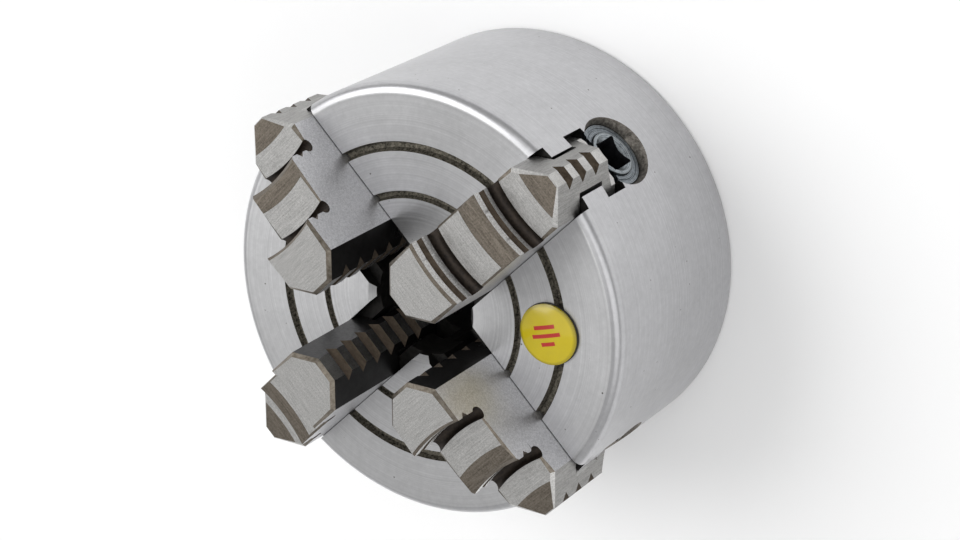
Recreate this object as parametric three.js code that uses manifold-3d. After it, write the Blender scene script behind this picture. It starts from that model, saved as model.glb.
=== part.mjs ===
// Four-jaw independent lathe chuck, plain back, one-piece reversible jaws.
// Millimetres. +Z is the spindle axis, z = 0 is the back face and the jaws lie along +X, +Y, -X, -Y.

import * as THREE from 'three';
import { mergeVertices } from 'three/addons/utils/BufferGeometryUtils.js';
import Module from 'manifold-3d';

const wasm = await Module();
wasm.setup();

// Body
const bodyRadius = 50;
const bodyHeight = 52;
const faceZ = bodyHeight;
const rimFillet = 2.5;
const backChamfer = 0.8;
const boreRadius = 12.5;
const boreChamfer = 1.3;
const registerRadius = 36;
const registerDepth = 4;
const faceGrooves = [
  { radius: 25.15, width: 1.7, depth: 1.1 },
  { radius: 36, width: 2.2, depth: 1.3 },
];
const mountingPitchRadius = 42;
const mountingHoleRadius = 3.4;
const mountingHoleDepth = 16;

// Jaw slots, measured down from the front face
const slideGap = 0.15;
const slotHalfWidth = 8;
const tongueTop = 2.75;
const tongueBottom = 11.1;
const tongueHalfGap = 5.2;
const slotDepth = 18.3;

// Jaws: a side profile that steps down outward, between two 45 degree noses
const jawCount = 4;
const jawHalfWidth = slotHalfWidth - slideGap;
const jawInner = 13.4;
const jawOuter = 53.15;
const innerLandHalf = 2.9;
const outerLandHalf = 1.6;
const jawBelowFace = 17.8;
const stepTops = [23, 15.3, 7.6];
const wallX = [25.6, 39.5];
const gripRadius = 35;
const edgeChamfer = 0.8;
const wallBevel = 0.6;
const wallVeeBelowTop = 3.3;
const wallVeeDepth = 1;
const reliefRadius = 1.5;
const reliefOutward = 0.9;
const reliefAboveFoot = 0.3;
const fallArcX = [34.9, 47.4];
const fallDrop = 0.7;
const toothPitch = 5.4;
const toothDepth = 1.4;
const innerToothTop = 17;
const innerTeeth = 6;
const outerToothTop = 2.1;
const outerTeeth = 3;
const guideGap = 0.25;
const noseReliefRadius = 10.5;
const noseReliefX = 48.7;

// Screws, axes square to the spindle
const screwBelowFace = 24;
const screwZ = faceZ - screwBelowFace;
const pitch = 4;
const threadCore = 6;
const threadCrest = 7.5;
const threadRootWidth = 2.2;
const threadCrestWidth = 1.2;
const threadStart = 20.2;
const threadTurns = 5;
const threadSegments = 16;
const threadRadialGap = 0.25;
const threadFlankGap = 0.2;
const screwBoreRadius = 7.8;
const screwBoreFloor = 18;
const mouthRadius = 9;
const innerJournalRadius = 4.2;
const innerJournalEnd = 13.8;
const outerJournalRadius = 5.4;
const screwEnd = 48.5;
const socketAcross = 7;
const socketDepth = 9;

// Thrust bearings and the set screws that hold them
const bearingInnerX = 43;
const bearingOuterX = 47.8;
const bearingOuterRadius = 7.6;
const bearingInnerRadius = 5.5;
const bearingOpening = 3.5;
const thrustGap = 0.1;
const setScrewRadius = 2;
const setScrewX = (bearingInnerX + bearingOuterX) / 2;
const setScrewRecess = 0.6;
const driverSlotWidth = 0.8;
const driverSlotDepth = 1.2;

// Badge stuck on the face between two jaws
const badgeRadius = 7;
const badgeCentreRadius = 33.1;
const badgeAngle = -44;
const badgeLift = 0.05;
const badgeBackingHeight = 0.35;
const badgeMargin = 0.15;
const badgeDomeEdge = 0.45;
const badgeDomeRise = 0.9;

// How far a cutter runs past the face that it cuts, and the facets round each kind of turned shape
const beyond = 1;
const bodyFacets = 72;
const gripFacets = 96;
const boreFacets = 32;
const pinFacets = 20;

const castIron = new THREE.MeshStandardMaterial({ color: 0xb2b2b4, roughness: 0.42, metalness: 1 });
const groundSteel = new THREE.MeshStandardMaterial({ color: 0xbdbcb8, roughness: 0.35, metalness: 1 });
const alloyScrew = new THREE.MeshStandardMaterial({ color: 0x8d9296, roughness: 0.4, metalness: 1 });
const bearingSteel = new THREE.MeshStandardMaterial({ color: 0x7f868c, roughness: 0.45, metalness: 1 });
const blackOxide = new THREE.MeshStandardMaterial({ color: 0x2a2a2c, roughness: 0.55, metalness: 1 });
const enamel = new THREE.MeshStandardMaterial({ color: 0xc8b81c, roughness: 0.25, metalness: 0 });
const labelBacking = new THREE.MeshStandardMaterial({ color: 0x1c1c18, roughness: 0.5, metalness: 0 });

const chuck = new THREE.Group();
chuck.name = 'lathe_chuck';

// A closed geometry as a solid for cutting and joining. A mirroring map turns it inside out, so mirrored
// reverses its triangles.
function solid(geometry, mirrored = false) {
  const bare = geometry.clone();
  bare.deleteAttribute('normal');
  bare.deleteAttribute('uv');
  const merged = mergeVertices(bare, 1e-5);
  const triangles = Uint32Array.from(merged.index.array);
  if (mirrored) {
    for (let i = 0; i < triangles.length; i += 3) {
      [triangles[i + 1], triangles[i + 2]] = [triangles[i + 2], triangles[i + 1]];
    }
  }
  const vertices = Float32Array.from(merged.attributes.position.array);
  return new wasm.Manifold(new wasm.Mesh({ numProp: 3, vertProperties: vertices, triVerts: triangles }));
}

function addPiece(name, shape, material, angle = 0) {
  const cut = shape.getMesh();
  const geometry = new THREE.BufferGeometry();
  geometry.setAttribute('position', new THREE.BufferAttribute(cut.vertProperties, 3));
  geometry.setIndex(new THREE.BufferAttribute(cut.triVerts, 1));
  geometry.computeVertexNormals();
  const piece = new THREE.Mesh(geometry, material);
  piece.name = name;
  piece.rotation.z = angle;
  chuck.add(piece);
}

function block(x0, x1, y0, y1, z0, z1) {
  const box = new THREE.BoxGeometry(x1 - x0, y1 - y0, z1 - z0);
  box.translate((x0 + x1) / 2, (y0 + y1) / 2, (z0 + z1) / 2);
  return solid(box);
}

// Turned round the vertical line through (x, y): the outline is [radius, z] pairs, going anticlockwise.
function turned(outline, segments, x = 0, y = 0) {
  const closed = [...outline, outline[0]].map(([radius, z]) => new THREE.Vector2(radius, z));
  const lathe = new THREE.LatheGeometry(closed, segments);
  lathe.rotateX(Math.PI / 2);
  lathe.translate(x, y, 0);
  return solid(lathe);
}

function rod(radius, z0, z1, segments, x = 0, y = 0) {
  const cylinder = new THREE.CylinderGeometry(radius, radius, z1 - z0, segments);
  cylinder.rotateX(Math.PI / 2);
  cylinder.translate(x, y, (z0 + z1) / 2);
  return solid(cylinder);
}

// Turned round a screw's axis: the outline is [x, radius] pairs from the inner end to the outer end.
function turnedOnScrew(outline, segments) {
  const [innerX] = outline[0];
  const [outerX] = outline[outline.length - 1];
  const points = [[innerX, 0], ...outline, [outerX, 0]].map(([x, radius]) => new THREE.Vector2(radius, x));
  const lathe = new THREE.LatheGeometry(points, segments);
  lathe.rotateZ(-Math.PI / 2);
  lathe.translate(0, 0, screwZ);
  return solid(lathe);
}

function arc(centreX, centreZ, radius, fromDegrees, toDegrees, steps) {
  const points = [];
  for (let i = 0; i <= steps; i += 1) {
    const angle = THREE.MathUtils.degToRad(fromDegrees + ((toDegrees - fromDegrees) * i) / steps);
    points.push([centreX + radius * Math.cos(angle), centreZ + radius * Math.sin(angle)]);
  }
  return points;
}

// The left-hand thread as one helical ridge. A straight bar of the thread's section is bent round the
// screw's axis: its length becomes turns and its height becomes radius.
function threadRidge(firstTurn, turns, flankGap, radialGap) {
  const embed = 0.4;
  const section = new THREE.Shape();
  section.moveTo(-threadRootWidth / 2 - flankGap, threadCore - embed);
  section.lineTo(threadRootWidth / 2 + flankGap, threadCore - embed);
  section.lineTo(threadCrestWidth / 2 + flankGap, threadCrest + radialGap);
  section.lineTo(-threadCrestWidth / 2 - flankGap, threadCrest + radialGap);
  section.closePath();
  const settings = { depth: turns, steps: turns * threadSegments, bevelEnabled: false };
  const bar = new THREE.ExtrudeGeometry(section, settings);
  const position = bar.attributes.position;
  for (let i = 0; i < position.count; i += 1) {
    const turn = position.getZ(i) + firstTurn;
    const angle = -2 * Math.PI * turn;
    const radius = position.getY(i);
    const x = threadStart + pitch * turn + position.getX(i);
    position.setXYZ(i, x, radius * Math.cos(angle), screwZ + radius * Math.sin(angle));
  }
  return solid(bar, true);
}

function chuckBody() {
  const grooveOutline = ({ radius, width, depth }) => [
    [radius + width / 2, faceZ],
    [radius + width / 4, faceZ - depth],
    [radius - width / 4, faceZ - depth],
    [radius - width / 2, faceZ],
  ];
  const [innerGroove, outerGroove] = faceGrooves;
  let body = turned([
    [boreRadius, registerDepth],
    [registerRadius, registerDepth],
    [registerRadius, 0],
    [bodyRadius - backChamfer, 0],
    [bodyRadius, backChamfer],
    ...arc(bodyRadius - rimFillet, faceZ - rimFillet, rimFillet, 0, 90, 4),
    ...grooveOutline(outerGroove),
    ...grooveOutline(innerGroove),
    [boreRadius + boreChamfer, faceZ],
    [boreRadius, faceZ - boreChamfer],
  ], bodyFacets);

  const past = bodyRadius + beyond;
  const slot = block(boreRadius - 3, past, -slotHalfWidth, slotHalfWidth, faceZ - tongueTop, faceZ + beyond)
    .add(block(boreRadius - 3, past, -tongueHalfGap, tongueHalfGap, faceZ - slotDepth, faceZ))
    .add(block(boreRadius - 3, past, -slotHalfWidth, slotHalfWidth, faceZ - slotDepth, faceZ - tongueBottom));
  const mouthTaper = (mouthRadius - screwBoreRadius) / (bodyRadius - bearingOuterX);
  const screwBore = turnedOnScrew([
    [boreRadius - beyond, innerJournalRadius + thrustGap],
    [screwBoreFloor, innerJournalRadius + thrustGap],
    [screwBoreFloor, screwBoreRadius],
    [bearingOuterX, screwBoreRadius],
    [past, screwBoreRadius + mouthTaper * (past - bearingOuterX)],
  ], boreFacets);
  const setScrewHole = rod(setScrewRadius + slideGap, -beyond, screwZ, pinFacets, setScrewX);
  const station = slot.add(screwBore).add(setScrewHole);
  const mountingHole = rod(mountingHoleRadius, -beyond, mountingHoleDepth, pinFacets, mountingPitchRadius);
  for (let i = 0; i < jawCount; i += 1) {
    const turn = (360 / jawCount) * i;
    body = body.subtract(station.rotate([0, 0, turn]));
    body = body.subtract(mountingHole.rotate([0, 0, turn + 180 / jawCount]));
  }
  return body;
}

// The plan outline of a whole jaw, drawn up to the given height with its edges chamfered.
function jawPrism(top) {
  const insideX = jawInner + jawHalfWidth - innerLandHalf;
  const outsideX = jawOuter - jawHalfWidth + outerLandHalf;
  const plan = new THREE.Shape();
  plan.moveTo(jawInner, -innerLandHalf);
  plan.lineTo(insideX, -jawHalfWidth);
  plan.lineTo(outsideX, -jawHalfWidth);
  plan.lineTo(jawOuter, -outerLandHalf);
  plan.lineTo(jawOuter, outerLandHalf);
  plan.lineTo(outsideX, jawHalfWidth);
  plan.lineTo(insideX, jawHalfWidth);
  plan.lineTo(jawInner, innerLandHalf);
  plan.closePath();
  const height = top + jawBelowFace;
  const prism = new THREE.ExtrudeGeometry(plan, {
    depth: height - 2 * edgeChamfer,
    bevelThickness: edgeChamfer,
    bevelSize: edgeChamfer,
    bevelOffset: -edgeChamfer,
    bevelSegments: 1,
  });
  prism.translate(0, 0, faceZ - jawBelowFace + edgeChamfer);
  return solid(prism);
}

// Everything that a step wall of the jaw loses round its grip arc, which is hollow towards the outside so
// that the turned jaw fits round work: the wall's edge bevel, its V groove and the relief at its foot.
function cutStepWall(shape, x, top, foot) {
  const axisX = x + gripRadius;
  const topZ = faceZ + top;
  const veeZ = topZ - wallVeeBelowTop;
  const vee = turned([
    [gripRadius - beyond, veeZ - wallVeeDepth],
    [gripRadius, veeZ - wallVeeDepth],
    [gripRadius + wallVeeDepth, veeZ],
    [gripRadius, veeZ + wallVeeDepth],
    [gripRadius - beyond, veeZ + wallVeeDepth],
  ], gripFacets, axisX);
  const bevelRing = turned([
    [gripRadius - beyond, topZ - wallBevel],
    [gripRadius, topZ - wallBevel],
    [gripRadius + wallBevel, topZ],
    [gripRadius + wallBevel, topZ + beyond],
    [gripRadius - beyond, topZ + beyond],
  ], gripFacets, axisX);
  const reliefZ = faceZ + foot + reliefAboveFoot;
  const relief = turned(arc(gripRadius - reliefOutward, reliefZ, reliefRadius, 0, 324, 9), gripFacets, axisX);
  return shape.subtract(vee).subtract(bevelRing).subtract(relief);
}

// The outer part of a step top falls away slightly beyond an arc.
function fallAway(arcX, top, endX) {
  const axisX = arcX + gripRadius;
  const topZ = faceZ + top;
  return turned([
    [gripRadius, topZ],
    [gripRadius, topZ + beyond],
    [axisX - endX, topZ + beyond],
    [axisX - endX, topZ - fallDrop],
  ], gripFacets, axisX);
}

function noseTeeth(x, direction, topZ, count) {
  const teeth = [];
  for (let i = 0; i < count; i += 1) {
    const z = topZ - toothPitch * i;
    const vee = new THREE.Shape();
    vee.moveTo(x + direction * toothDepth, faceZ + z);
    vee.lineTo(x - direction * beyond, faceZ + z + toothDepth + beyond);
    vee.lineTo(x - direction * beyond, faceZ + z - toothDepth - beyond);
    vee.closePath();
    const bar = new THREE.ExtrudeGeometry(vee, { depth: 2 * slotHalfWidth, bevelEnabled: false });
    bar.rotateX(Math.PI / 2);
    bar.translate(0, slotHalfWidth, 0);
    teeth.push(solid(bar));
  }
  return teeth;
}

function jaw() {
  const [firstTop, secondTop, thirdTop] = stepTops;
  const [firstWall, secondWall] = wallX;
  const [secondFall, thirdFall] = fallArcX;
  const beyondWall = (x) => rod(gripRadius, 0, faceZ + firstTop + beyond, gripFacets, x + gripRadius);
  let shape = jawPrism(thirdTop)
    .add(jawPrism(secondTop).subtract(beyondWall(secondWall)))
    .add(jawPrism(firstTop).subtract(beyondWall(firstWall)));
  shape = cutStepWall(shape, firstWall, firstTop, secondTop);
  shape = cutStepWall(shape, secondWall, secondTop - fallDrop, thirdTop);
  shape = shape.subtract(fallAway(secondFall, secondTop, secondWall + beyond));
  shape = shape.subtract(fallAway(thirdFall, thirdTop, jawOuter + beyond));
  const teeth = [
    ...noseTeeth(jawInner, 1, innerToothTop, innerTeeth),
    ...noseTeeth(jawOuter, -1, outerToothTop, outerTeeth),
  ];
  for (const tooth of teeth) {
    shape = shape.subtract(tooth);
  }

  // The guide grooves in both sides, which leave a waist between the two flanges
  const guideTop = faceZ - tongueTop + guideGap;
  const guideBottom = faceZ - tongueBottom - guideGap;
  const x0 = jawInner - beyond;
  const x1 = jawOuter + beyond;
  const groove = block(x0, x1, tongueHalfGap - guideGap, slotHalfWidth + beyond, guideBottom, guideTop);
  shape = shape.subtract(groove).subtract(groove.mirror([0, 1, 0]));

  // The half nut runs the jaw's whole length, in step with the screw
  const turnsBefore = 2;
  const turnsInAll = 11;
  shape = shape.subtract(threadRidge(-turnsBefore, turnsInAll, threadFlankGap, threadRadialGap));
  return shape.subtract(turnedOnScrew([[noseReliefX, noseReliefRadius], [x1, noseReliefRadius]], boreFacets));
}

function jawScrew() {
  const innerChamfer = 0.5;
  const outerChamfer = 0.3;
  const journals = turnedOnScrew([
    [innerJournalEnd, innerJournalRadius - innerChamfer],
    [innerJournalEnd + innerChamfer, innerJournalRadius],
    [screwBoreFloor + beyond, innerJournalRadius],
    [screwBoreFloor + beyond, outerJournalRadius],
    [screwEnd - outerChamfer, outerJournalRadius],
    [screwEnd, outerJournalRadius - outerChamfer],
  ], boreFacets);
  const core = turnedOnScrew([
    [screwBoreFloor + thrustGap, threadCore],
    [bearingInnerX - thrustGap, threadCore],
  ], threadSegments);
  const half = socketAcross / 2;
  const socket = block(screwEnd - socketDepth, screwEnd + beyond, -half, half, screwZ - half, screwZ + half);
  return core.add(journals).add(threadRidge(0, threadTurns, 0, 0)).subtract(socket);
}

// A ring round the screw's outer journal, open on the side where the jaw slides over it
function thrustBearing() {
  const x0 = bearingInnerX - beyond;
  const x1 = bearingOuterX + beyond;
  const ring = turnedOnScrew([
    [bearingInnerX, bearingOuterRadius],
    [bearingOuterX, bearingOuterRadius],
  ], boreFacets);
  const hole = turnedOnScrew([[x0, bearingInnerRadius], [x1, bearingInnerRadius]], boreFacets);
  const top = screwZ + screwBoreRadius;
  const opening = block(x0, x1, -screwBoreRadius, screwBoreRadius, screwZ + bearingOpening, top);
  const pinHole = rod(setScrewRadius + slideGap, 0, screwZ, pinFacets, setScrewX);
  return ring.subtract(hole).subtract(opening).subtract(pinHole);
}

// The dog point goes up through the bearing's wall from the back of the body
function bearingSetScrew() {
  const chamfer = 0.3;
  const tip = screwZ - bearingInnerRadius - thrustGap;
  const screw = turned([
    [0, setScrewRecess],
    [setScrewRadius - chamfer, setScrewRecess],
    [setScrewRadius, setScrewRecess + chamfer],
    [setScrewRadius, tip - chamfer],
    [setScrewRadius - chamfer, tip],
    [0, tip],
  ], pinFacets, setScrewX);
  const half = driverSlotWidth / 2;
  const x0 = setScrewX - setScrewRadius - beyond;
  const x1 = setScrewX + setScrewRadius + beyond;
  return screw.subtract(block(x0, x1, -half, half, 0, setScrewRecess + driverSlotDepth));
}

function badgePieces() {
  const angle = THREE.MathUtils.degToRad(badgeAngle);
  const x = badgeCentreRadius * Math.cos(angle);
  const y = badgeCentreRadius * Math.sin(angle);
  const bottom = faceZ + badgeLift;
  const backing = rod(badgeRadius, bottom, bottom + badgeBackingHeight, boreFacets, x, y);
  const discBottom = bottom + badgeBackingHeight + badgeLift;
  const discRadius = badgeRadius - badgeMargin;
  const domeRadius = (discRadius ** 2 + badgeDomeRise ** 2) / (2 * badgeDomeRise);
  const edgeAngle = THREE.MathUtils.radToDeg(Math.acos(discRadius / domeRadius));
  const domeCentre = discBottom + badgeDomeEdge + badgeDomeRise - domeRadius;
  const dome = arc(0, domeCentre, domeRadius, edgeAngle, 90, 4);
  dome[dome.length - 1][0] = 0;
  const disc = turned([[0, discBottom], [discRadius, discBottom], ...dome], boreFacets, x, y);
  addPiece('badge_backing', backing, labelBacking);
  addPiece('badge_disc', disc, enamel);
}

addPiece('chuck_body', chuckBody(), castIron);
const jawShape = jaw();
const screwShape = jawScrew();
const bearingShape = thrustBearing();
const setScrewShape = bearingSetScrew();
for (let i = 0; i < jawCount; i += 1) {
  const angle = ((2 * Math.PI) / jawCount) * i;
  addPiece(`jaw_${i + 1}`, jawShape, groundSteel, angle);
  addPiece(`jaw_screw_${i + 1}`, screwShape, alloyScrew, angle);
  addPiece(`thrust_bearing_${i + 1}`, bearingShape, bearingSteel, angle);
  addPiece(`bearing_set_screw_${i + 1}`, setScrewShape, blackOxide, angle);
}
badgePieces();

export default chuck;
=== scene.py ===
import bpy
import bmesh
import math
from mathutils import Matrix, Vector


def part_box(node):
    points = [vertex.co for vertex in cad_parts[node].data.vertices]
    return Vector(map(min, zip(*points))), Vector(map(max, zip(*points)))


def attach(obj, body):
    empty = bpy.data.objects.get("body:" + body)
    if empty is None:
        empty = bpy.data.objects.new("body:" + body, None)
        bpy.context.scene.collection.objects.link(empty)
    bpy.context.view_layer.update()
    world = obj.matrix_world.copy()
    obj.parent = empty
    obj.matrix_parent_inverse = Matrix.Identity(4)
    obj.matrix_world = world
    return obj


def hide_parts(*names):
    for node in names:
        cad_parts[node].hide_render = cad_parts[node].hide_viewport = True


# Four-jaw independent lathe chuck, in metres, with +Z along the spindle. Places come from the frame and from
# the settings beside each piece.
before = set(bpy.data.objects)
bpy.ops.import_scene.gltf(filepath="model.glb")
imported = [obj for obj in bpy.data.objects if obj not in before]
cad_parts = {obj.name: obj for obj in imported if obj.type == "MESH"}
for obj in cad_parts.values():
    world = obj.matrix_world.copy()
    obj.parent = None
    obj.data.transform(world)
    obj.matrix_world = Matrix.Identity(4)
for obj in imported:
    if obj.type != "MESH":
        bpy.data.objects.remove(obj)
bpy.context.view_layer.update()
mm = 0.001
jawCount = 4
close = 0.02 * mm
past = 1 * mm  # how far a tool runs beyond the face that it cuts
bodyLow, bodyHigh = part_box("chuck_body")
faceZ = bodyHigh.z
jawLow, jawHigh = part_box("jaw_1")
screwLow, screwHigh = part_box("jaw_screw_1")
bearingLow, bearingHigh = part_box("thrust_bearing_1")
pinLow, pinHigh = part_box("bearing_set_screw_1")
screwZ = (screwLow.z + screwHigh.z) / 2
print("frame loaded")


# sRGB hex to linear
def hexColour(text):
    parts = [int(text[i:i + 2], 16) / 255 for i in (1, 3, 5)]
    linear = [v / 12.92 if v <= 0.04045 else ((v + 0.055) / 1.055) ** 2.4 for v in parts]
    return (*linear, 1)


# Adds a node to a material or world. An input given as a socket is linked, and any other is set.
def addNode(material, kind, inputs=None, **settings):
    made = material.node_tree.nodes.new("ShaderNode" + kind)
    for name, value in settings.items():
        setattr(made, name, value)
    for name, value in (inputs or {}).items():
        if isinstance(value, bpy.types.NodeSocket):
            material.node_tree.links.new(value, made.inputs[name])
        else:
            made.inputs[name].default_value = value
    return made


# Selects one object alone
def only(obj):
    bpy.ops.object.select_all(action="DESELECT")
    obj.select_set(True)
    bpy.context.view_layer.objects.active = obj


# Names the new primitive and moves its place into its mesh
def placed(name, material=None):
    obj = bpy.context.active_object
    obj.name = name
    only(obj)
    bpy.ops.object.transform_apply(location=True, rotation=True, scale=True)
    if material:
        obj.data.materials.append(material)
    return obj


def addBox(name, low, high, material=None):
    bpy.ops.object.select_all(action="DESELECT")
    low, high = Vector(low), Vector(high)
    bpy.ops.mesh.primitive_cube_add(size=1, location=(low + high) / 2, scale=high - low)
    return placed(name, material)


# A cylinder or cone along Z or X. The centre is its place on the other two axes.
def addRod(name, radius, start, end, centre, axis="Z", sides=64, material=None, endRadius=None):
    bpy.ops.object.select_all(action="DESELECT")
    middle, length = (start + end) / 2, end - start
    location = (centre[0], centre[1], middle) if axis == "Z" else (middle, centre[0], centre[1])
    rotation = (0, 0, 0) if axis == "Z" else (0, math.pi / 2, 0)
    bpy.ops.mesh.primitive_cone_add(
        vertices=sides, radius1=radius, radius2=radius if endRadius is None else endRadius,
        depth=length, location=location, rotation=rotation)
    return placed(name, material)


# Opens edit mode with only the faces, edges or vertices that pass the test selected
def selectIn(obj, kind, test):
    bpy.ops.object.mode_set(mode="EDIT")
    bpy.ops.mesh.select_mode(type=kind)
    bpy.ops.mesh.select_all(action="DESELECT")
    mesh = bmesh.from_edit_mesh(obj.data)
    for part in {"FACE": mesh.faces, "EDGE": mesh.edges, "VERT": mesh.verts}[kind]:
        if test(part):
            part.select_set(True)
    mesh.select_flush_mode()
    bmesh.update_edit_mesh(obj.data)


def leaveEdit():
    bpy.ops.object.mode_set(mode="OBJECT")


def addModifier(obj, kind, **settings):
    only(obj)
    made = obj.modifiers.new(kind.lower(), kind)
    for name, value in settings.items():
        setattr(made, name, value)
    bpy.ops.object.modifier_apply(modifier=made.name)


# Cuts the tool out of the piece, or joins it on, and the cut faces keep the tool's material
def combine(piece, tool, operation="DIFFERENCE"):
    addModifier(piece, "BOOLEAN", object=tool, operation=operation, solver="EXACT",
                material_mode="TRANSFER")
    bpy.data.objects.remove(tool)


# A copy with its own mesh, turned that many jaw places round the spindle
def turnedCopy(obj, name, turns):
    made = obj.copy()
    made.data = obj.data.copy()
    made.name = name
    made.data.transform(Matrix.Rotation(turns * 2 * math.pi / jawCount, 4, "Z"))
    bpy.context.scene.collection.objects.link(made)
    return made


def cutAllRound(piece, tool, extraTurn=0):
    for i in range(jawCount):
        combine(piece, turnedCopy(tool, tool.name + str(i), i + extraTurn))
    bpy.data.objects.remove(tool)


def softEdges(obj, width, angle=30, segments=2):
    addModifier(obj, "BEVEL", width=width, segments=segments, limit_method="ANGLE",
                angle_limit=math.radians(angle), use_clamp_overlap=True, harden_normals=False)


def finishShading(obj, angle=32):
    only(obj)
    bpy.ops.object.shade_smooth_by_angle(angle=math.radians(angle))
    addModifier(obj, "WEIGHTED_NORMAL", keep_sharp=True, weight=80)


def startMaterial(name, metallic, roughness, colour):
    material = bpy.data.materials.new(name)
    material.use_nodes = True
    shader = material.node_tree.nodes["Principled BSDF"]
    shader.inputs["Metallic"].default_value = metallic
    shader.inputs["Roughness"].default_value = roughness
    shader.inputs["Base Color"].default_value = hexColour(colour)
    return material, shader


def joinNodes(material, output, shader, name):
    material.node_tree.links.new(output, shader.inputs[name])


castLook = {"light": "#d0d0d1", "dark": "#bababb", "pit": "#5c5a56", "mark": 0.45 * mm, "grain": 1.6 * mm,
            "cloud": 14 * mm, "pitSize": 2.6 * mm, "roughness": 0.36}
# darker colours for the outer cylinder: painted shade
sideShadeLook = {**castLook, "light": "#c7c7c9", "dark": "#b0b0b2", "roughness": 0.33}


# Grey cast iron, turned and ground bright: lathe marks run round the spindle, with open grain as small pits.
# The marks are drawn coarser than the real feed, so that they show.
def turnedCastIron(name, look):
    material, shader = startMaterial(name, 1, look["roughness"], look["light"])
    place = addNode(material, "TexCoord").outputs["Object"]
    parts = addNode(material, "SeparateXYZ", {0: place})
    flat = addNode(material, "CombineXYZ", {"X": parts.outputs["X"], "Y": parts.outputs["Y"]})
    reach = addNode(material, "VectorMath", {0: flat.outputs[0]}, operation="LENGTH")
    along = addNode(material, "Math", {0: reach.outputs["Value"], 1: parts.outputs["Z"]}, operation="ADD")
    marks = addNode(material, "TexNoise", {"W": along.outputs[0], "Scale": 1 / look["mark"], "Detail": 3},
                    noise_dimensions="1D")
    grain = addNode(material, "TexNoise", {"Vector": place, "Scale": 1 / look["grain"], "Detail": 5,
                                           "Roughness": 0.7})
    cloud = addNode(material, "TexNoise", {"Vector": place, "Scale": 1 / look["cloud"], "Detail": 2})
    mixed = addNode(material, "Math", {0: marks.outputs["Fac"], 1: grain.outputs["Fac"]},
                    operation="MULTIPLY")
    shade = addNode(material, "Math", {0: cloud.outputs["Fac"], 1: 0.3, 2: mixed.outputs[0]},
                    operation="MULTIPLY_ADD")
    tone = addNode(material, "MapRange", {"Value": shade.outputs[0], "From Min": 0.22, "From Max": 0.6})
    colour = addNode(material, "Mix", {"Factor": tone.outputs[0], 6: hexColour(look["dark"]),
                                       7: hexColour(look["light"])}, data_type="RGBA")
    pits = addNode(material, "TexVoronoi", {"Vector": place, "Scale": 1 / look["pitSize"], "Randomness": 1})
    isPit = addNode(material, "MapRange", {"Value": pits.outputs["Distance"], "From Min": 0.06,
                                           "From Max": 0.1, "To Min": 1, "To Max": 0})
    sparse = addNode(material, "MapRange", {"Value": grain.outputs["Fac"], "From Min": 0.52, "From Max": 0.6})
    pit = addNode(material, "Math", {0: isPit.outputs[0], 1: sparse.outputs[0]}, operation="MULTIPLY")
    pitted = addNode(material, "Mix", {"Factor": pit.outputs[0], 6: colour.outputs[2],
                                       7: hexColour(look["pit"])}, data_type="RGBA")
    joinNodes(material, pitted.outputs[2], shader, "Base Color")
    rough = addNode(material, "MapRange", {"Value": marks.outputs["Fac"], "To Min": look["roughness"] - 0.07,
                                           "To Max": look["roughness"] + 0.09})
    joinNodes(material, rough.outputs[0], shader, "Roughness")
    height = addNode(material, "Math", {0: pit.outputs[0], 1: -0.8, 2: marks.outputs["Fac"]},
                     operation="MULTIPLY_ADD")
    bump = addNode(material, "Bump", {"Height": height.outputs[0], "Strength": 0.16, "Distance": 0.03 * mm})
    joinNodes(material, bump.outputs[0], shader, "Normal")
    shader.inputs["Anisotropic"].default_value = 0.5
    tangent = addNode(material, "Tangent", direction_type="RADIAL", axis="Z")
    joinNodes(material, tangent.outputs[0], shader, "Tangent")
    return material


looksByName = {}


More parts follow.
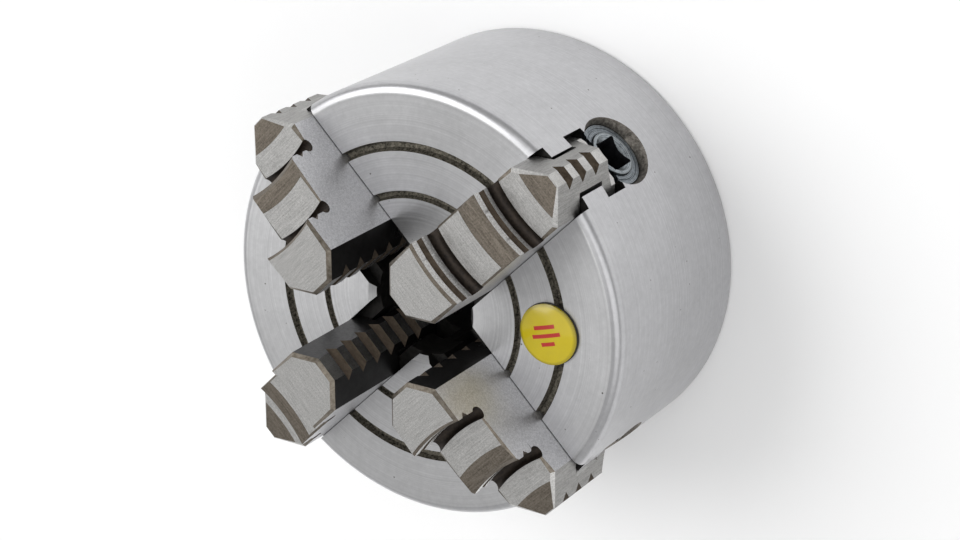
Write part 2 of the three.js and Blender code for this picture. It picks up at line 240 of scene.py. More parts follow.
# A metal surface with one grain: noise stretched along it, between two colours. Turned ends add rings.
# Grinding lines and rings are drawn coarser than the real grit and feed, so that they show.
def grainedMetal(name, look, turns=0):
    material, shader = startMaterial(name, look["metallic"], look["roughness"], look["light"])
    looksByName[material.name] = (name, look)
    place = addNode(material, "TexCoord").outputs["Object"]
    turned = addNode(material, "Mapping", {"Vector": place,
                                           "Rotation": (0, 0, -turns * 2 * math.pi / jawCount)})
    stretch = tuple(1 / v for v in look["grain"])
    scaled = addNode(material, "VectorMath", {0: turned.outputs[0], 1: stretch}, operation="MULTIPLY")
    grain = addNode(material, "TexNoise", {"Vector": scaled.outputs[0], "Scale": 1, "Detail": 4,
                                           "Roughness": 0.65})
    speck = addNode(material, "TexNoise", {"Vector": turned.outputs[0], "Scale": 1 / look["speck"],
                                           "Detail": 3, "Roughness": 0.6})
    shade = addNode(material, "Math", {0: grain.outputs["Fac"], 1: speck.outputs["Fac"]}, operation="ADD")
    if "ring" in look:
        offset = addNode(material, "VectorMath", {0: turned.outputs[0], 1: (0, 0, screwZ)},
                         operation="SUBTRACT")
        across = addNode(material, "VectorMath", {0: offset.outputs[0], 1: (0, 1, 1)},
                         operation="MULTIPLY")
        reach = addNode(material, "VectorMath", {0: across.outputs[0]}, operation="LENGTH")
        rings = addNode(material, "TexNoise", {"W": reach.outputs["Value"], "Scale": 1 / look["ring"],
                                               "Detail": 2}, noise_dimensions="1D")
        shade = addNode(material, "Math", {0: rings.outputs["Fac"], 1: 2, 2: speck.outputs["Fac"]},
                        operation="MULTIPLY_ADD")
        shade = addNode(material, "Math", {0: shade.outputs[0], 1: 0.5}, operation="SUBTRACT")
    tone = addNode(material, "MapRange", {"Value": shade.outputs[0], "From Min": 0.72, "From Max": 1.28})
    colour = addNode(material, "Mix", {"Factor": tone.outputs[0], 6: hexColour(look["dark"]),
                                       7: hexColour(look["light"])}, data_type="RGBA")
    joinNodes(material, colour.outputs[2], shader, "Base Color")
    rough = addNode(material, "MapRange", {"Value": speck.outputs["Fac"], "From Min": 0.3, "From Max": 0.7,
                                           "To Min": look["roughness"] - 0.06,
                                           "To Max": look["roughness"] + 0.1})
    joinNodes(material, rough.outputs[0], shader, "Roughness")
    bump = addNode(material, "Bump", {"Height": shade.outputs[0], "Strength": look["bump"],
                                      "Distance": 0.03 * mm})
    joinNodes(material, bump.outputs[0], shader, "Normal")
    return material


# Gives a turned copy its own materials, with their grain turned as far as the copy
def turnMaterials(obj, turns):
    for place, material in enumerate(obj.data.materials):
        name, look = looksByName[material.name]
        obj.data.materials[place] = grainedMetal(f"{name}{turns + 1}", look, turns)


ironLook = {
    # the slots and bores, coloured near black: painted shade of these deep recesses
    "slot": {"metallic": 0.7, "roughness": 0.5, "light": "#302e2c", "dark": "#131211",
             "grain": (3 * mm, 3 * mm, 0.8 * mm), "speck": 1.2 * mm, "bump": 0.4},
    # the face grooves are left rough, with dark grease and bright specks in them
    "groove": {"metallic": 0.8, "roughness": 0.6, "light": "#858074", "dark": "#181510",
               "grain": (0.7 * mm, 0.7 * mm, 0.7 * mm), "speck": 0.5 * mm, "bump": 0.9},
    # coarse milled mouth of the screw bores
    "mouth": {"metallic": 0.9, "roughness": 0.5, "light": "#96918a", "dark": "#4c4842",
              "grain": (0.6 * mm, 0.8 * mm, 0.8 * mm), "speck": 0.6 * mm, "bump": 0.7},
}
jawLook = {
    # hardened steel, surface ground: grinding lines lie across the jaw
    "ground": {"metallic": 1, "roughness": 0.36, "light": "#cfcecc", "dark": "#9b9a98",
               "grain": (0.16 * mm, 5 * mm, 5 * mm), "speck": 0.3 * mm, "bump": 0.22},
    # as milled before hardening, tinted brown by the heat
    "milled": {"metallic": 0.95, "roughness": 0.4, "light": "#857d73", "dark": "#5a534a",
               "grain": (0.35 * mm, 6 * mm, 6 * mm), "speck": 0.4 * mm, "bump": 0.25},
    # sides, blasted after hardening: an even salt-and-pepper satin with no grain direction
    "side": {"metallic": 1, "roughness": 0.48, "light": "#dcdcde", "dark": "#b0b0b3",
             "grain": (0.22 * mm, 0.22 * mm, 0.22 * mm), "speck": 0.4 * mm, "bump": 0.25},
    # outer nose facets, coloured darker than the ground faces: painted shade for the dim surroundings they
    # reflect
    "facetShade": {"metallic": 1, "roughness": 0.4, "light": "#adacaa", "dark": "#7f7e7c",
              "grain": (0.2 * mm, 4 * mm, 4 * mm), "speck": 0.3 * mm, "bump": 0.25},
    # cylinder-ground lands of the step walls, coloured white with a salt-and-pepper sparkle: painted
    # highlight over the ground steel
    "land": {"metallic": 1, "roughness": 0.4, "light": "#ffffff", "dark": "#bdbcbb",
             "grain": (1 * mm, 0.35 * mm, 0.35 * mm), "speck": 0.35 * mm, "bump": 0.5},
    # bottoms of the grooves and teeth, dark brown from the furnace
    "vee": {"metallic": 0.85, "roughness": 0.45, "light": "#574d42", "dark": "#372f27",
            "grain": (1 * mm, 2 * mm, 1 * mm), "speck": 0.8 * mm, "bump": 0.3},
    # edges broken by hand on a belt, duller than the ground faces
    "edge": {"metallic": 1, "roughness": 0.36, "light": "#8b847a", "dark": "#5f584e",
             "grain": (2 * mm, 0.5 * mm, 2 * mm), "speck": 0.8 * mm, "bump": 0.3},
    # brown-black scale in the undercuts
    "relief": {"metallic": 0.6, "roughness": 0.45, "light": "#40372f", "dark": "#1f1a17",
               "grain": (1 * mm, 3 * mm, 1 * mm), "speck": 0.7 * mm, "bump": 0.35},
    # inner nose facets, coloured near black: painted dark reflection of the dim surroundings
    "black": {"metallic": 0.6, "roughness": 0.42, "light": "#2b2a2a", "dark": "#151414",
              "grain": (2 * mm, 2 * mm, 2 * mm), "speck": 0.7 * mm, "bump": 0.35},
}
screwLook = {
    "turned": {"metallic": 1, "roughness": 0.3, "light": "#a4aaae", "dark": "#6a7074", "ring": 0.16 * mm,
               "grain": (0.5 * mm, 1.5 * mm, 1.5 * mm), "speck": 0.8 * mm, "bump": 0.5},
    "bearing": {"metallic": 1, "roughness": 0.34, "light": "#989ea3", "dark": "#565c61", "ring": 0.14 * mm,
                "grain": (0.5 * mm, 1.2 * mm, 1.2 * mm), "speck": 0.7 * mm, "bump": 0.5},
    "socket": {"metallic": 0.6, "roughness": 0.5, "light": "#26262a", "dark": "#0d0d10",
               "grain": (2 * mm, 1 * mm, 1 * mm), "speck": 0.8 * mm, "bump": 0.3},
    "oxide": {"metallic": 0.8, "roughness": 0.4, "light": "#3a3a3d", "dark": "#1c1c1f",
              "grain": (1 * mm, 1 * mm, 1 * mm), "speck": 0.5 * mm, "bump": 0.3},
}
castIron = turnedCastIron("groundCastIron", castLook)
castSideShade = turnedCastIron("turnedCastIron", sideShadeLook)  # the outer cylinder takes a darker, glossier copy of the face's look: painted shade
slotShadeBlack = grainedMetal("slotAndBoreShade", ironLook["slot"])
grooveDark = grainedMetal("roughGroove", ironLook["groove"])
mouthMilled = grainedMetal("milledBoreMouth", ironLook["mouth"])
print("materials made")


chuckBody = {
    "sides": 256, "rimFillet": 2.5 * mm, "backChamfer": 0.8 * mm, "softEdge": 0.2 * mm,
    "grooves": [(36 * mm, 2.2 * mm, 1.3 * mm), (25.15 * mm, 1.7 * mm, 1.1 * mm)],  # radius, width, depth
    "grooveReach": 2 * mm,
    "bore": 12.5 * mm, "boreChamfer": 1.3 * mm, "register": 36 * mm, "registerDepth": 4 * mm,
    "slotHalf": 8 * mm, "tongueHalf": 5.2 * mm, "tongueTop": 2.75 * mm, "tongueBottom": 11.1 * mm,
    "slotDepth": 18.3 * mm, "screwBore": 7.8 * mm, "screwBoreFloor": 18 * mm, "mouth": 9 * mm,
    "journalBore": 4.3 * mm, "setScrewHole": 2.15 * mm, "tapHole": 3.4 * mm, "tapPitch": 42 * mm,
    "tapDepth": 16 * mm,
}


# Walks one round face inwards through rings of (radius, z), by inset where the ring narrows
def walkRings(obj, startRadius, startZ, facing, rings):
    selectIn(obj, "FACE", lambda f: abs(f.calc_center_median().z - startZ) < close
             and f.normal.z * facing > 0.9)
    radius, z = startRadius, startZ
    for nextRadius, nextZ in rings:
        if abs(nextRadius - radius) < close:
            bpy.ops.mesh.extrude_region_move(TRANSFORM_OT_translate={"value": (0, 0, nextZ - z)})
        else:
            bpy.ops.mesh.inset(thickness=radius - nextRadius, depth=(nextZ - z) * facing)
        radius, z = nextRadius, nextZ
    leaveEdit()


# One jaw slot: a slot as wide as the gap between the tongues, widened above and below them
def slotTool(s):
    tool = addBox("slotTool", (s["bore"] - 3 * past, -s["tongueHalf"], faceZ - s["slotDepth"]),
                  (bodyHigh.x + past, s["tongueHalf"], faceZ + past), slotShadeBlack)
    selectIn(tool, "FACE", lambda f: True)
    for z in (faceZ - s["tongueTop"], faceZ - s["tongueBottom"]):
        bpy.ops.mesh.select_all(action="SELECT")
        bpy.ops.mesh.bisect(plane_co=(0, 0, z), plane_no=(0, 0, 1))
    leaveEdit()
    for side in (-1, 1):
        for low, high in ((faceZ - s["slotDepth"], faceZ - s["tongueBottom"]),
                          (faceZ - s["tongueTop"], faceZ + past)):
            selectIn(tool, "FACE", lambda f: f.normal.y * side > 0.9
                     and low < f.calc_center_median().z < high)
            wider = (0, side * (s["slotHalf"] - s["tongueHalf"]), 0)
            bpy.ops.mesh.extrude_region_move(TRANSFORM_OT_translate={"value": wider})
            leaveEdit()
    return tool


def makeBody(s):
    radius = bodyHigh.x
    body = addRod("chuckBody", radius, 0, faceZ, (0, 0), sides=s["sides"], material=castIron)
    for extra in (grooveDark, slotShadeBlack):
        body.data.materials.append(extra)
    ironIndex, grooveIndex, slotShadeIndex = range(3)
    rings = []
    for middle, width, depth in s["grooves"]:
        rings += [(middle + width / 2, faceZ), (middle + width / 4, faceZ - depth),
                  (middle - width / 4, faceZ - depth), (middle - width / 2, faceZ)]
    rings += [(s["bore"] + s["boreChamfer"], faceZ), (s["bore"], faceZ - s["boreChamfer"])]
    walkRings(body, radius, faceZ, 1, rings)
    walkRings(body, radius, 0, -1, [(s["register"], 0), (s["register"], s["registerDepth"]),
                                    (s["bore"], s["registerDepth"])])
    selectIn(body, "FACE", lambda f: len(f.verts) == s["sides"])
    bpy.ops.mesh.bridge_edge_loops()
    # the bore takes the near-black slot colour: painted shade
    body.active_material_index = slotShadeIndex
    bpy.ops.object.material_slot_assign()
    leaveEdit()
    inGroove = [(m - w / 2, m + w / 2) for m, w, d in s["grooves"]]
    for face in body.data.polygons:
        reach = math.hypot(face.center.x, face.center.y)
        if face.center.z > faceZ - s["grooveReach"] and any(low < reach < high for low, high in inGroove):
            face.material_index = grooveIndex
    onRim = lambda e, z: all(abs(v.co.z - z) < close and v.co.xy.length > radius - close for v in e.verts)
    selectIn(body, "EDGE", lambda e: onRim(e, faceZ))
    bpy.ops.mesh.bevel(offset=s["rimFillet"], segments=8, profile=0.5)
    leaveEdit()
    selectIn(body, "EDGE", lambda e: onRim(e, 0))
    bpy.ops.mesh.bevel(offset=s["backChamfer"], segments=2)
    leaveEdit()

    cutAllRound(body, slotTool(s))
    mouthStart = bearingHigh.x
    mouthGrowth = (s["mouth"] - s["screwBore"]) / (radius - mouthStart)
    centre = (0, screwZ)
    end = radius + past
    # the screw bores, journal bores and holes are cut with the near-black slot colour: painted shade
    tools = [
        addRod("screwBore", s["screwBore"], s["screwBoreFloor"], mouthStart + close, centre, "X",
               sides=96, material=slotShadeBlack),
        addRod("boreMouth", s["screwBore"], mouthStart, end, centre, "X", sides=96, material=mouthMilled,
               endRadius=s["screwBore"] + mouthGrowth * (end - mouthStart)),
        addRod("journalBore", s["journalBore"], s["bore"] - past, s["screwBoreFloor"] + close, centre,
               "X", sides=48, material=slotShadeBlack),
        addRod("setScrewHole", s["setScrewHole"], -past, screwZ, ((pinLow.x + pinHigh.x) / 2, 0),
               sides=32, material=slotShadeBlack),
    ]
    for tool in tools:
        cutAllRound(body, tool)
    tap = addRod("tapHole", s["tapHole"], -past, s["tapDepth"], (s["tapPitch"], 0), sides=48,
                 material=slotShadeBlack)
    cutAllRound(body, tap, 0.5)
    # outer cylinder faces take the darker copy of the cast iron: painted shade
    body.data.materials.append(castSideShade)
    for face in body.data.polygons:
        reach = math.hypot(face.center.x, face.center.y)
        isOuter = reach > radius - s["rimFillet"] and abs(face.normal.z) < 0.98
        if face.material_index == ironIndex and isOuter:
            face.material_index = len(body.data.materials) - 1
    softEdges(body, s["softEdge"])
    finishShading(body)
    return body


body = makeBody(chuckBody)
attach(body, "chuck")
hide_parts("chuck_body")
print("body made", len(body.data.polygons))


jaw = {
    "innerLand": 2.9 * mm, "outerLand": 1.6 * mm, "tops": [23 * mm, 15.3 * mm, 7.6 * mm],
    "walls": [25.6 * mm, 39.5 * mm], "grip": 35 * mm, "chamfer": 0.8 * mm, "softEdge": 0.1 * mm,
    "wallBevel": 0.6 * mm, "veeBelowTop": 3.3 * mm, "veeDepth": 1 * mm, "relief": 1.5 * mm,
    "reliefOut": 0.9 * mm, "reliefUp": 0.3 * mm, "falls": [34.9 * mm, 47.4 * mm], "fallDrop": 0.7 * mm,
    "toothPitch": 5.4 * mm, "toothDepth": 1.4 * mm, "toothOut": 0.3 * mm, "innerTeeth": (17 * mm, 6),
    "outerTeeth": (2.1 * mm, 3), "guideTop": 2 * mm, "guideBottom": 11.35 * mm,
    "waistHalf": 4.4 * mm, "noseRelief": 10.5 * mm, "noseReliefX": 48.7 * mm, "arcSides": 384,
}
thread = {
    "pitch": 4 * mm, "core": 6 * mm, "crest": 7.5 * mm, "embed": 0.4 * mm, "root": 2.2 * mm,
    "top": 1.2 * mm, "start": 20.2 * mm, "turns": 5, "steps": 48, "flankGap": 0.2 * mm,
    "radialGap": 0.25 * mm, "nutFirstTurn": -2, "nutTurns": 11,  # the nut's thread runs out at both jaw ends
}


# One left-hand helical ridge: its section is a face, and the Screw modifier winds it along X
def addThread(name, t, firstTurn, turns, flankGap, radialGap, material):
    inner, outer = t["core"] - t["embed"], t["crest"] + radialGap
    bottom, top = t["root"] / 2 + flankGap, t["top"] / 2 + flankGap
    bpy.ops.object.select_all(action="DESELECT")
    bpy.ops.mesh.primitive_plane_add(size=1)
    ridge = placed(name, material)
    for vertex in ridge.data.vertices:
        upper = vertex.co.y > 0
        width = top if upper else bottom
        vertex.co = (math.copysign(width, vertex.co.x), outer if upper else inner, 0)
    selectIn(ridge, "FACE", lambda f: True)
    bpy.ops.mesh.delete(type="ONLY_FACE")
    leaveEdit()
    addModifier(ridge, "SCREW", axis="X", angle=-2 * math.pi, screw_offset=t["pitch"],
                iterations=turns, steps=t["steps"], render_steps=t["steps"], use_smooth_shade=False)
    selectIn(ridge, "EDGE", lambda e: e.is_boundary)
    bpy.ops.mesh.fill_holes(sides=4)
    bpy.ops.mesh.select_all(action="SELECT")
    bpy.ops.mesh.remove_doubles(threshold=0.001 * mm)
    bpy.ops.mesh.normals_make_consistent(inside=False)
    leaveEdit()
    ridge.data.transform(Matrix.Translation((t["start"] + firstTurn * t["pitch"], 0, screwZ)))
    return ridge


# The gripping wall of one step: a vee round it, a bevel along its top and an undercut at its foot
def cutStepWall(piece, j, x, top, foot, looks):
    axis, sides = (x + j["grip"], 0), j["arcSides"]
    bpy.ops.object.select_all(action="DESELECT")
    bpy.ops.mesh.primitive_torus_add(
        major_segments=sides, minor_segments=4, major_radius=j["grip"], minor_radius=j["veeDepth"],
        location=(axis[0], 0, top - j["veeBelowTop"]))
    combine(piece, placed("veeTool", looks["vee"]))
    reach, drop = j["grip"], j["wallBevel"]
    combine(piece, addRod("bevelTool", reach, top - drop, top + drop, axis, sides=sides,
                          material=looks["milled"], endRadius=reach + 2 * drop))
    bpy.ops.object.select_all(action="DESELECT")
    bpy.ops.mesh.primitive_torus_add(
        major_segments=sides, minor_segments=24, major_radius=reach - j["reliefOut"],
        minor_radius=j["relief"], location=(axis[0], 0, foot + j["reliefUp"]))
    combine(piece, placed("reliefTool", looks["relief"]))


# The outer part of a step's top, milled to fall away from an arc towards the next wall
def cutFall(piece, j, arcX, top, endX, milled):
    axisX = arcX + j["grip"]
    slope = (j["grip"] - (axisX - endX)) / j["fallDrop"]
    combine(piece, addRod("fallTool", axisX - endX, top - j["fallDrop"], top + past, (axisX, 0),
                          sides=j["arcSides"], material=milled, endRadius=j["grip"] + slope * past))


# A column of square vees down one end of the jaw, which leaves its serrations standing
def cutTeeth(piece, j, x, outwards, teeth, material):
    topZ, count = teeth
    for i in range(count):
        bpy.ops.object.select_all(action="DESELECT")
        bpy.ops.mesh.primitive_cylinder_add(
            vertices=4, radius=j["toothDepth"] + j["toothOut"], depth=3 * jawHigh.y,
            location=(x + outwards * j["toothOut"], 0, faceZ + topZ - i * j["toothPitch"]),
            rotation=(math.pi / 2, 0, 0))
        combine(piece, placed("toothTool", material))


def makeJaw(j):
    looks = {key: grainedMetal(key + "JawSteel", value) for key, value in jawLook.items()}
    order = list(looks)
    ground, milled = looks["ground"], looks["milled"]
    half = jawHigh.y
    piece = addBox("jaw", jawLow, jawHigh)
    for extra in looks.values():
        piece.data.materials.append(extra)
    upright = lambda e: abs(e.verts[0].co.z - e.verts[1].co.z) > close
    # the nose facets' darker colours, black inside and grey outside, are painted shade
    for x, land, look in ((jawLow.x, j["innerLand"], "black"), (jawHigh.x, j["outerLand"], "facetShade")):
        selectIn(piece, "EDGE", lambda e: upright(e) and abs(e.verts[0].co.x - x) < close)
        bpy.ops.mesh.bevel(offset=half - land, segments=1, material=order.index(look))
        leaveEdit()
    tops = [faceZ + top for top in j["tops"]]
    for i, x in enumerate(j["walls"]):
        # the step walls take the white land colour: painted highlight
        tool = addRod("stepTool", j["grip"], tops[i + 1], jawHigh.z + past, (x + j["grip"], 0),
                      sides=j["arcSides"], material=looks["land"])
        tool.data.materials.append(ground)
        for face in tool.data.polygons:
            face.material_index = int(abs(face.normal.z) > 0.9)
        combine(piece, tool)

    def onOutline(v):
        corner = min(v.co.x - jawLow.x + j["innerLand"], jawHigh.x - v.co.x + j["outerLand"], half)
        return abs(abs(v.co.y) - corner) < close or abs(v.co.x - jawLow.x) < close \
            or abs(v.co.x - jawHigh.x) < close
    for z in tops + [jawLow.z]:
        selectIn(piece, "EDGE", lambda e: all(abs(v.co.z - z) < close and onOutline(v) for v in e.verts))
        bpy.ops.mesh.bevel(offset=j["chamfer"], segments=1, material=order.index("edge"))
        leaveEdit()
    for face in piece.data.polygons:
        if face.normal.x > 0.99 and face.center.x > jawHigh.x - close \
                or face.normal.x > 0.3 and face.normal.z > 0.3 and face.center.x > j["falls"][1]:
            face.material_index = order.index("ground")
        elif abs(face.normal.y) > 0.99:
            face.material_index = order.index("side")
    cutFall(piece, j, j["falls"][0], tops[1], j["walls"][1] + past, milled)
    cutFall(piece, j, j["falls"][1], tops[2], jawHigh.x + past, milled)
    cutStepWall(piece, j, j["walls"][0], tops[0], tops[1], looks)
    cutStepWall(piece, j, j["walls"][1], tops[1] - j["fallDrop"], tops[2], looks)
    cutTeeth(piece, j, jawLow.x, -1, j["innerTeeth"], looks["vee"])
    cutTeeth(piece, j, jawHigh.x, 1, j["outerTeeth"], looks["vee"])
    for side in (-1, 1):
        near, far = sorted((side * j["waistHalf"], side * (half + past)))
        combine(piece, addBox("guideTool", (jawLow.x - past, near, faceZ - j["guideBottom"]),
                              (jawHigh.x + past, far, faceZ - j["guideTop"]), ground))
    combine(piece, addRod("noseTool", j["noseRelief"], j["noseReliefX"], jawHigh.x + past,
                          (0, screwZ), "X", sides=96, material=ground))
    softEdges(piece, j["softEdge"])
    combine(piece, addThread("nutTool", thread, thread["nutFirstTurn"], thread["nutTurns"],
                             thread["flankGap"], thread["radialGap"], ground))
    finishShading(piece)
    return piece


jawPiece = makeJaw(jaw)
for i in range(jawCount):
    name = f"jaw_{i + 1}"
    made = turnedCopy(jawPiece, f"steppedJaw{i + 1}", i)
    turnMaterials(made, i)
    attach(made, name)
    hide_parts(name)
bpy.data.objects.remove(jawPiece)
print("jaws made")


screw = {
    "innerJournal": 4.2 * mm, "outerJournal": 5.4 * mm, "coreStart": 18.1 * mm, "coreEnd": 42.9 * mm,
    "socket": 7 * mm, "socketDepth": 9 * mm, "endChamfer": 0.45 * mm, "innerChamfer": 0.5 * mm,
    "leadIn": 4.6 * mm, "leadInDepth": 0.9 * mm, "socketCorner": 0.35 * mm, "leadInPast": 0.5 * mm,
    "softEdge": 0.08 * mm,
}
bearing = {"bore": 5.5 * mm, "opening": 3.5 * mm, "softEdge": 0.25 * mm, "oilRing": 6.6 * mm,
           "oilRingDepth": 0.22 * mm}
setScrew = {"hole": 2.15 * mm, "radius": 2 * mm, "chamfer": 0.3 * mm, "slot": 0.8 * mm,
            "slotDepth": 1.2 * mm, "softEdge": 0.06 * mm}


# Core, two journals, the thread and a square socket with a lead-in cone
def makeScrew(s):
    steel = grainedMetal("turnedScrewSteel", screwLook["turned"])
    dark = grainedMetal("broachedSocket", screwLook["socket"])
    piece = addRod("screw", thread["core"], s["coreStart"], s["coreEnd"], (0, screwZ), "X", sides=96,
                   material=steel)
    for x, sign, journal, end, chamfer in (
            (s["coreEnd"], 1, s["outerJournal"], screwHigh.x, s["endChamfer"]),
            (s["coreStart"], -1, s["innerJournal"], screwLow.x, s["innerChamfer"])):
        selectIn(piece, "FACE", lambda f: f.normal.x * sign > 0.9)
        bpy.ops.mesh.inset(thickness=thread["core"] - journal)
        bpy.ops.mesh.extrude_region_move(TRANSFORM_OT_translate={"value": (end - x, 0, 0)})
        leaveEdit()
        selectIn(piece, "EDGE", lambda e: all(abs(v.co.x - end) < close for v in e.verts))
        bpy.ops.mesh.bevel(offset=chamfer, segments=3)
        leaveEdit()
    combine(piece, addThread("ridge", thread, firstTurn=0, turns=thread["turns"], flankGap=0, radialGap=0,
                             material=steel), "UNION")
    half = s["socket"] / 2
    socket = addBox("socketTool", (screwHigh.x - s["socketDepth"], -half, screwZ - half),
                    (screwHigh.x + past, half, screwZ + half), dark)
    selectIn(socket, "EDGE", lambda e: abs(e.verts[0].co.x - e.verts[1].co.x) > close)
    bpy.ops.mesh.bevel(offset=s["socketCorner"], segments=3)
    leaveEdit()
    combine(piece, socket)
    growth = (s["leadIn"] - half) * (1 + s["leadInPast"] / s["leadInDepth"])
    combine(piece, addRod("leadInTool", half, screwHigh.x - s["leadInDepth"], screwHigh.x + s["leadInPast"],
                          (0, screwZ), "X", sides=64, material=steel, endRadius=half + growth))
    softEdges(piece, s["softEdge"], angle=40)
    finishShading(piece)
    return piece


# A turned ring, open at the top where the slot runs through it, with a fine oil ring in its outer face
def makeBearing(b):
    steel = grainedMetal("turnedBearingSteel", screwLook["bearing"])
    outer = bearingHigh.y
    piece = addRod("bearing", outer, bearingLow.x, bearingHigh.x, (0, screwZ), "X", sides=128,
                   material=steel)
    selectIn(piece, "FACE", lambda f: abs(f.normal.x) > 0.9)
    bpy.ops.mesh.inset(thickness=outer - b["bore"])
    bpy.ops.mesh.bridge_edge_loops()
    leaveEdit()
    combine(piece, addBox("openingTool", (bearingLow.x - past, -2 * outer, screwZ + b["opening"]),
                          (bearingHigh.x + past, 2 * outer, screwZ + 2 * outer), steel))
    bpy.ops.object.select_all(action="DESELECT")
    bpy.ops.mesh.primitive_torus_add(
        major_segments=128, minor_segments=12, major_radius=b["oilRing"], minor_radius=b["oilRingDepth"],
        location=(bearingHigh.x, 0, screwZ), rotation=(0, math.pi / 2, 0))
    combine(piece, placed("oilRingTool", steel))
    combine(piece, addRod("pinTool", setScrew["hole"], 0, screwZ, ((pinLow.x + pinHigh.x) / 2, 0),
                          sides=48, material=steel))
    softEdges(piece, b["softEdge"])
    finishShading(piece)
    return piece


def makeSetScrew(s):
    steel = grainedMetal("blackOxideSteel", screwLook["oxide"])
    centre = ((pinLow.x + pinHigh.x) / 2, 0)
    piece = addRod("setScrew", s["radius"], pinLow.z, pinHigh.z, centre, sides=48, material=steel)
    selectIn(piece, "EDGE", lambda e: abs(e.verts[0].co.z - e.verts[1].co.z) < close)
    bpy.ops.mesh.bevel(offset=s["chamfer"], segments=2)
    leaveEdit()
    combine(piece, addBox("driverTool", (centre[0] - 2 * s["radius"], -s["slot"] / 2, 0),
                          (centre[0] + 2 * s["radius"], s["slot"] / 2, pinLow.z + s["slotDepth"]), steel))
    softEdges(piece, s["softEdge"])
    finishShading(piece)
    return piece


for node, label, bodyName, slotName, model in (
        ("jaw_screw", "jawScrew", "screw_{}", "screw_steel", makeScrew(screw)),
        ("thrust_bearing", "thrustBearing", "chuck", "bearing_steel", makeBearing(bearing)),
        ("bearing_set_screw", "bearingSetScrew", "chuck", "black_oxide_steel", makeSetScrew(setScrew))):
    for i in range(jawCount):
        made = turnedCopy(model, f"{label}{i + 1}", i)
        turnMaterials(made, i)
        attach(made, bodyName.format(i + 1))
        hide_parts(f"{node}_{i + 1}")
    bpy.data.objects.remove(model)
print("screws and bearings made")


badge = {"sides": 96, "domeRings": 8, "edge": 0.45 * mm, "backingChamfer": 0.1 * mm}


# Domed clear-coated label over a printed yellow ground, with three plain bars as its mark
def labelYellow(centre):
    look = {"ground": "#cdb80a", "edge": "#a3920a", "mark": "#b3261c", "turn": math.radians(28),
            "bars": ((1.9 * mm, 5.2 * mm), (0, 7 * mm), (-1.9 * mm, 3.4 * mm)), "barHalf": 0.45 * mm,
            "rim": (6.1 * mm, 6.8 * mm), "cloud": 3 * mm, "roughness": 0.18, "coat": 0.4,
            "coatRoughness": 0.08}
    material, shader = startMaterial("domedLabel", 0, look["roughness"], look["ground"])
    place = addNode(material, "TexCoord").outputs["Object"]
    centred = addNode(material, "VectorMath", {0: place, 1: centre}, operation="SUBTRACT")
    turned = addNode(material, "VectorRotate", {"Vector": centred.outputs[0], "Angle": look["turn"]},
                     rotation_type="Z_AXIS")
    parts = addNode(material, "SeparateXYZ", {0: turned.outputs[0]})
    total = None
    for offset, length in look["bars"]:
        across = addNode(material, "Math", {0: parts.outputs["Y"], 1: offset}, operation="SUBTRACT")
        size = addNode(material, "Math", {0: across.outputs[0]}, operation="ABSOLUTE")
        thin = addNode(material, "Math", {0: size.outputs[0], 1: look["barHalf"]}, operation="LESS_THAN")
        run = addNode(material, "Math", {0: parts.outputs["X"]}, operation="ABSOLUTE")
        short = addNode(material, "Math", {0: run.outputs[0], 1: length / 2}, operation="LESS_THAN")
        bar = addNode(material, "Math", {0: thin.outputs[0], 1: short.outputs[0]}, operation="MULTIPLY")
        total = bar if total is None else addNode(
            material, "Math", {0: total.outputs[0], 1: bar.outputs[0]}, operation="ADD")
    flat = addNode(material, "VectorMath", {0: centred.outputs[0]}, operation="LENGTH")
    rim = addNode(material, "MapRange", {"Value": flat.outputs["Value"], "From Min": look["rim"][0],
                                         "From Max": look["rim"][1]})
    cloud = addNode(material, "TexNoise", {"Vector": place, "Scale": 1 / look["cloud"], "Detail": 2})
    worn = addNode(material, "Math", {0: cloud.outputs["Fac"], 1: 0.35, 2: rim.outputs[0]},
                   operation="MULTIPLY_ADD", use_clamp=True)
    ground = addNode(material, "Mix", {"Factor": worn.outputs[0], 6: hexColour(look["ground"]),
                                       7: hexColour(look["edge"])}, data_type="RGBA")
    printed = addNode(material, "Mix", {"Factor": total.outputs[0], 6: ground.outputs[2],
                                        7: hexColour(look["mark"])}, data_type="RGBA")
    joinNodes(material, printed.outputs[2], shader, "Base Color")
    shader.inputs["Coat Weight"].default_value = look["coat"]
    shader.inputs["Coat Roughness"].default_value = look["coatRoughness"]
    return material


def makeBadge(b):
    low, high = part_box("badge_disc")
    centre = (low + high) / 2
    radius = (high.x - low.x) / 2
    disc = addRod("badgeDisc", radius, low.z, low.z + b["edge"], centre.xy, sides=b["sides"],
                  material=labelYellow((centre.x, centre.y, high.z)))
    rise = high.z - low.z - b["edge"]
    sphere = (radius ** 2 + rise ** 2) / (2 * rise)
    rings = []
    for i in range(1, b["domeRings"] + 1):
        reach = radius * (1 - i / (b["domeRings"] + 1))
        rings.append((reach, high.z - sphere + math.sqrt(sphere ** 2 - reach ** 2)))
    walkRings(disc, radius, low.z + b["edge"], 1, rings)
    finishShading(disc, angle=40)
    low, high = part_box("badge_backing")
    # the backing is coloured near black; its dark rim round the label also stands for the label's shadow on
    # the face: painted shadow
    backingShadowLook = dict(ironLook["slot"], metallic=0, light="#2a2923", dark="#15140f")
    backing = addRod("badgeBacking", (high.x - low.x) / 2, low.z, high.z, centre.xy, sides=b["sides"],
                     material=grainedMetal("labelBackingShadow", backingShadowLook))
    softEdges(backing, b["backingChamfer"])
    finishShading(backing)
    return disc, backing


for piece, node, slotName in zip(makeBadge(badge), ("badge_disc", "badge_backing"),
                                 ("yellow_enamel", "label_backing")):
    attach(piece, "chuck")
    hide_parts(node)
print("badge made")


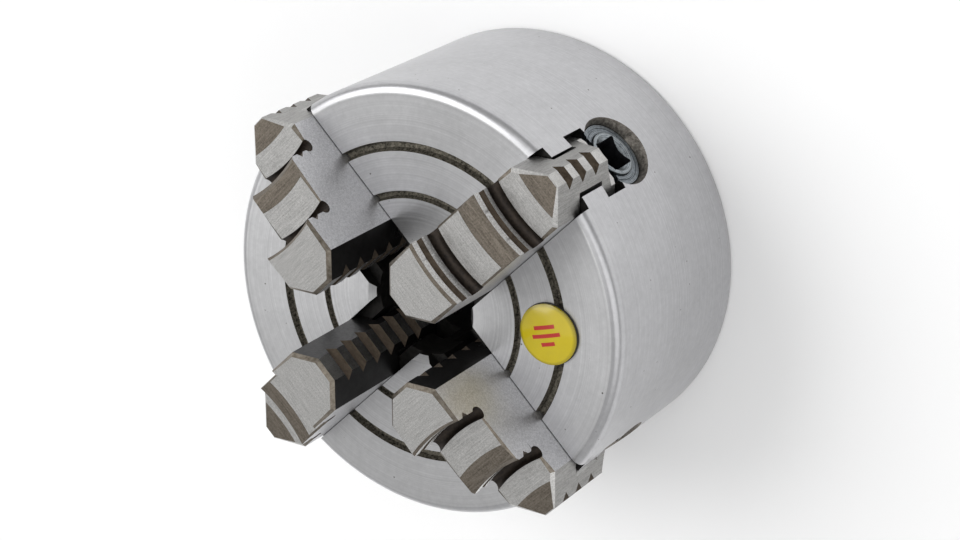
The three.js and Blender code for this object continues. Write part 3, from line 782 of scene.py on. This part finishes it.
stage = {"floorSize": 6, "floor": "#fafafa", "floorRoughness": 0.9, "sky": "#ffffff", "skyDim": 0.45,
         "skyBright": 0.72, "dimSide": (-9, 40), "aim": (0, 0, 0.05)}
lights = (
    # name, azimuth, elevation, distance, size, power
    ("overheadSoft", 90, 80, 2.0, 2.0, 5),
    ("farSoft", 105, 48, 1.8, 1.6, 16),
    ("nearSoft", -55, 38, 1.6, 1.4, 4.5),
    ("frontSoft", 6, 52, 1.7, 1.2, 3.5),
)
camera = {"azimuth": -8.85, "elevation": 50.07, "distance": 506 * mm, "roll": -120.03, "lens": 86.56,
          "sensor": 36, "aim": (11.5 * mm, -1.8 * mm, 42.3 * mm)}


# The unit vector towards a place in the sky, in degrees, from +X round +Z and up
def towards(azimuth, elevation):
    azimuth, elevation = math.radians(azimuth), math.radians(elevation)
    return Vector((math.cos(elevation) * math.cos(azimuth), math.cos(elevation) * math.sin(azimuth),
                   math.sin(elevation)))


def makeFloor():
    bpy.ops.object.select_all(action="DESELECT")
    bpy.ops.mesh.primitive_plane_add(size=stage["floorSize"])
    floor = placed("studioFloor")
    material, shader = startMaterial("palePaper", 0, stage["floorRoughness"], stage["floor"])
    floor.data.materials.append(material)


def makeLights():
    world = bpy.data.worlds.new("studio")
    bpy.context.scene.world = world
    world.use_nodes = True
    background = world.node_tree.nodes["Background"]
    background.inputs["Color"].default_value = hexColour(stage["sky"])
    side = addNode(world, "VectorMath", {0: addNode(world, "TexCoord").outputs["Generated"],
                                         1: towards(*stage["dimSide"])}, operation="DOT_PRODUCT")
    glow = addNode(world, "MapRange", {"Value": side.outputs["Value"], "From Min": 1, "From Max": -1,
                                       "To Min": stage["skyDim"], "To Max": stage["skyBright"]})
    world.node_tree.links.new(glow.outputs[0], background.inputs["Strength"])
    for name, azimuth, elevation, distance, size, power in lights:
        data = bpy.data.lights.new(name, "AREA")
        data.shape = "DISK"
        data.size = size
        data.energy = power
        lamp = bpy.data.objects.new(name, data)
        away = towards(azimuth, elevation)
        lamp.location = Vector(stage["aim"]) + away * distance
        lamp.rotation_euler = away.to_track_quat("Z", "Y").to_euler()
        bpy.context.scene.collection.objects.link(lamp)


def makeCamera(c):
    data = bpy.data.cameras.new("camera")
    data.lens = c["lens"]
    data.sensor_width = c["sensor"]
    view = bpy.data.objects.new("camera", data)
    view.location = Vector((0, 0, faceZ)) + towards(c["azimuth"], c["elevation"]) * c["distance"]
    look = (Vector(c["aim"]) - view.location).normalized()
    right = look.cross(Vector((0, 0, 1))).normalized()
    upright = Matrix((right, right.cross(look), -look)).transposed()
    view.rotation_euler = (upright @ Matrix.Rotation(math.radians(c["roll"]), 3, "Z")).to_euler()
    bpy.context.scene.collection.objects.link(view)
    bpy.context.scene.camera = view


makeFloor()
makeLights()
makeCamera(camera)
bpy.context.scene.view_settings.view_transform = "Standard"
print("stage set")
